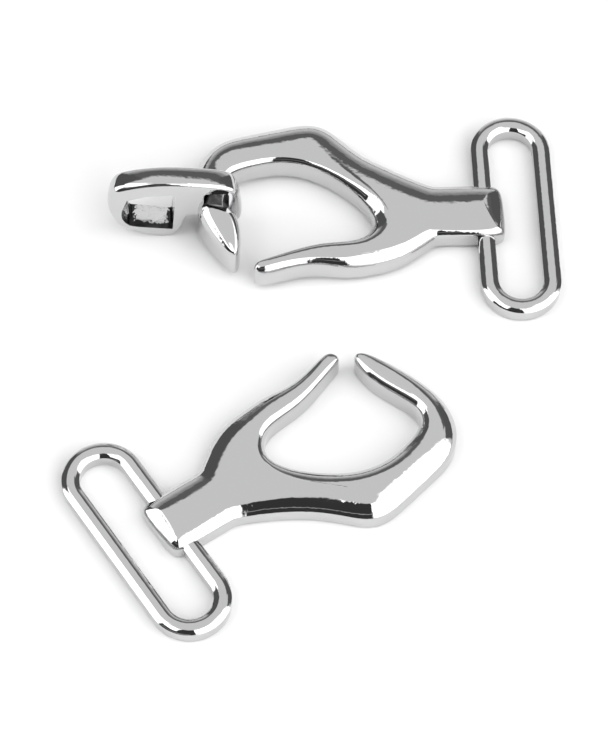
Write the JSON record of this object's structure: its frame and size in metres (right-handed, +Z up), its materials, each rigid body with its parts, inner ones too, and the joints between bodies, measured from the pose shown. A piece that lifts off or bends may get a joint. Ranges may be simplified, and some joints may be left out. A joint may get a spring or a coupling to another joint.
{
  "type": "decorative clasp",
  "caption": "Two-part cast metal strap clasp: each half an open hand with thumb and bent finger on an oval strap ring; the finger of one half hooks through the upright eye of the other.",
  "frame": {"origin": "on the surface that the two halves lie on, under the middle of the pair's bounding box", "axes": "+Z up from the surface; the pair lies as in the picture, seen along +Y with +X to the right: the hook half at -Y, the keeper half at +Y, the bar of the keeper half's ring nearly along Y"},
  "size_m": [0.074, 0.0884, 0.0144],
  "materials": {
    "plated_metal": "mirror-polished nickel plate on zinc die casting"
  },
  "bodies": {
    "root": {"hook_half": "plated_metal", "keeper_half": "plated_metal"}
  },
  "joints": []
}
